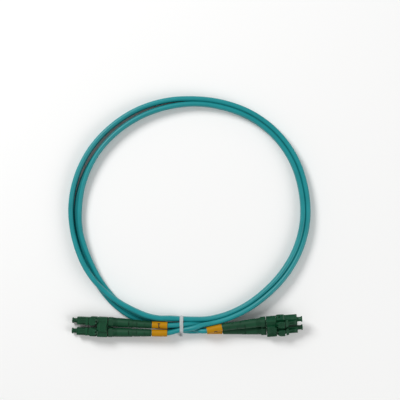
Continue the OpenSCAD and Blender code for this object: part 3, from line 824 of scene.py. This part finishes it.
def numeral(which, size, radius, at, roll):
    """Plain printed numeral, wrapped round a sleeve of that radius, reading along it."""
    bm = None
    for path in STROKES[which]:
        part = prism(stroke([(x*size, y*size) for x, y in path], 0.19*size), 0, 1, "z")
        bm = part if bm is None else union(bm, part)
    bmesh.ops.triangulate(bm, faces=bm.faces)
    for _ in range(3):
        long = [e for e in bm.edges if e.calc_length() > 0.35 and abs(e.verts[0].co.z - e.verts[1].co.z) < 0.5]
        if not long:
            break
        bmesh.ops.subdivide_edges(bm, edges=long, cuts=1)
        bmesh.ops.triangulate(bm, faces=bm.faces)
    for v in bm.verts:
        r = radius + (0.03 if v.co.z > 0.5 else -0.04)
        a = roll + v.co.y/radius
        v.co = Vector((at - v.co.x, -r*math.sin(a), r*math.cos(a)))
    bmesh.ops.recalc_face_normals(bm, faces=bm.faces)
    return bm


# how far each numeral has turned away from the top of its sleeve
MARK_TURN = {"a1": 0.15, "a2": 2.2, "b1": 1.9, "b2": -1.4}
markers = {1: [], 2: []}
for k, (e, s) in PLUGS.items():
    n_ = 1 if s < 0 else 2
    sg = 1 if n_ == 1 else -1
    ra, rb = (ROWS[2], ROWS[3]) if e == 0 else (ROWS[LAST - 2], ROWS[LAST - 4])
    d = (xyz(rb) - xyz(ra)) if e == 0 else (xyz(ra) - xyz(rb))
    p, q = row_point(sg, ra, d), row_point(sg, rb, d)
    u = (q - p).normalized()
    start = p + u*(0.4 if e == 0 else 1.1)
    mat4 = (Matrix.Translation(start*MM)
            @ rot(0, -math.asin(u.z)/DEG, math.atan2(u.y, u.x)/DEG))
    o = place(f"sleeve_{k}", MESH["marker"], mat4, "cord", f"marker_{k}")
    bm = numeral(n_, 3.0, MARK_R, MARK_L*0.46, MARK_TURN[k])
    me = finished(f"mark_{k}_mesh", bm, M["ink"])
    t = place(f"mark_{k}", me, mat4, "cord", None)
    markers[n_] += [o, t]

# ------------------------------------------------------------------ tie
TIE_X, TIE_W, TIE_T = -3.5, 2.1, 0.4
POSTS = [(4.1, 5.1), (4.15, 2.1), (0.85, 6.2), (-2.3, 6.0), (-2.8, 1.95)]


def hull_loop(r, n=16):
    """The outline of circles of radius r round the posts, as (y, z) points."""
    pts = [(y + r*math.cos(a*math.pi/n), z + r*math.sin(a*math.pi/n)) for y, z in POSTS for a in range(2*n)]
    pts = sorted(set((round(a, 5), round(b, 5)) for a, b in pts))
    def half(ps):
        out = []
        for p in ps:
            while len(out) > 1 and ((out[-1][0] - out[-2][0])*(p[1] - out[-2][1]) - (out[-1][1] - out[-2][1])*(p[0] - out[-2][0])) <= 0:
                out.pop()
            out.append(p)
        return out
    lo, hi = half(pts), half(reversed(pts))
    return lo[:-1] + hi[:-1]


def even(loop, step):
    loop = [Vector((a, b)) for a, b in loop]
    total, out = 0, []
    segs = [(loop[i], loop[(i + 1) % len(loop)]) for i in range(len(loop))]
    L = sum((b - a).length for a, b in segs)
    n = max(24, round(L/step))
    want, run, i = 0, 0, 0
    for a, b in segs:
        l = (b - a).length
        while i < n and i*L/n <= run + l + 1e-9:
            out.append(a + (b - a)*((i*L/n - run)/max(l, 1e-9)))
            i += 1
        run += l
    return out


def tie():
    """A flat plastic strip with a wire ridge down its middle, wound round the bundle."""
    path = even(hull_loop(CORD_R + 0.05), 0.45)
    n = len(path)
    sect = [(-1.05, 0.04), (-1.05, 0.15), (-1.0, 0.2), (-0.36, 0.2), (-0.27, 0.3), (-0.16, 0.39), (0, 0.43), (0.16, 0.39),
            (0.27, 0.3), (0.36, 0.2), (1.0, 0.2), (1.05, 0.15), (1.05, 0.04), (1.0, 0.0), (0.0, 0.0), (-1.0, 0.0)]
    bm = bmesh.new()
    rings = []
    for i, p in enumerate(path):
        t = (path[(i + 1) % n] - path[i - 1]).normalized()
        out = Vector((t.y, -t.x))
        wob = 0.04*math.sin(i*0.4) + 0.015*math.sin(i*1.3 + 1)
        rings.append([bm.verts.new((TIE_X + x + wob, p.x + out.x*h, p.y + out.y*h)) for x, h in sect])
    m = len(sect)
    for i in range(n):
        for k in range(m):
            bm.faces.new((rings[i][k], rings[i][(k + 1) % m], rings[(i + 1) % n][(k + 1) % m], rings[(i + 1) % n][k]))
    bmesh.ops.recalc_face_normals(bm, faces=bm.faces)
    return bm


def twist():
    """The two ends of the strip twisted round each other and laid down beside the bundle."""
    bm = bmesh.new()
    for half in (0, 1):
        rings = []
        L, steps = 2.3, 26
        for i in range(steps + 1):
            f = i/steps
            y = -4.35 - f*L + (0.35 if half else 0)*0
            z = 1.45 - 0.75*f
            ang = half*math.pi + f*2.6*math.pi
            c = Vector((TIE_X + 0.24*math.cos(ang), y, z + 0.24*math.sin(ang)))
            u = Vector((math.cos(ang), 0, math.sin(ang)))
            v = Vector((-math.sin(ang), 0, math.cos(ang)))
            w, t = 0.52, 0.17
            if f > 0.82:
                w *= 1 + (f - 0.82)*1.2
            rings.append([bm.verts.new(c + v*(a*w) + u*(b*t)) for a, b in
                          ((-1, -0.6), (-0.6, -1), (0.6, -1), (1, -0.6), (1, 0.6), (0.6, 1), (-0.6, 1), (-1, 0.6))])
        for i in range(steps):
            for k in range(8):
                bm.faces.new((rings[i][k], rings[i][(k + 1) % 8], rings[i + 1][(k + 1) % 8], rings[i + 1][k]))
        bm.faces.new(list(reversed(rings[0])))
        bm.faces.new(rings[-1])
    bmesh.ops.recalc_face_normals(bm, faces=bm.faces)
    return bm


eye = Matrix.Identity(4)
tie_o = place("tie_strip", finished("tie_mesh", tie(), M["tie"], 34), eye, "cord", "tie")
tie_t = place("tie_twist", finished("tie_twist_mesh", twist(), M["tie"], 50), eye, "cord", None)

for n_, s_ in ((1, 1), (2, -1)):
    pts = [tuple(p*MM) for p in STRAND[s_]]
    leave = STRAND[s_][AT_ROW[2]]
    tuple(leave*MM)
    markers[n_] + ([web, tie_o, tie_t] if n_ == 1 else [])

# ------------------------------------------------------------------ studio
fm = Nodes("studio_floor")
speck = fm.noise(3, 2, 0.5)
fm.link(fm.ramp(speck, [(0.3, (0.92, 0.92, 0.915)), (0.7, (0.935, 0.935, 0.93))]), fm.b.inputs["Base Color"])
fm.b.inputs["Roughness"].default_value = 0.75
fm.b.inputs["Specular IOR Level"].default_value = 0.1
me = bpy.data.meshes.new("studio_floor")
z0 = min(0.0, cad_lo.z) - 0.00005
me.from_pydata([(-2, -2, z0), (2, -2, z0), (2, 2, z0), (-2, 2, z0)], [], [(0, 1, 2, 3)])
me.materials.append(fm.m)
floor = link(bpy.data.objects.new("studio_floor", me))


def lamp(name, loc, target, size, energy, color=(1, 1, 1)):
    l = bpy.data.lights.new(name, "AREA")
    l.shape, l.size, l.energy, l.color = "DISK", size, energy, color
    o = link(bpy.data.objects.new(name, l))
    o.location = loc
    o.rotation_euler = (Vector(target) - Vector(loc)).to_track_quat("-Z", "Y").to_euler()
    return o


lamp("key", (-0.62, 0.7, 0.8), (0, 0.06, 0), 0.5, 9.9)
lamp("fill", (0.85, -0.35, 0.65), (0, 0.06, 0), 0.8, 5)
bpy.context.scene.view_settings.view_transform = "Standard"
world = bpy.data.worlds.new("studio")
world.use_nodes = True
world.node_tree.nodes["Background"].inputs["Color"].default_value = (1, 1, 1, 1)
world.node_tree.nodes["Background"].inputs["Strength"].default_value = 0.38
bpy.context.scene.world = world
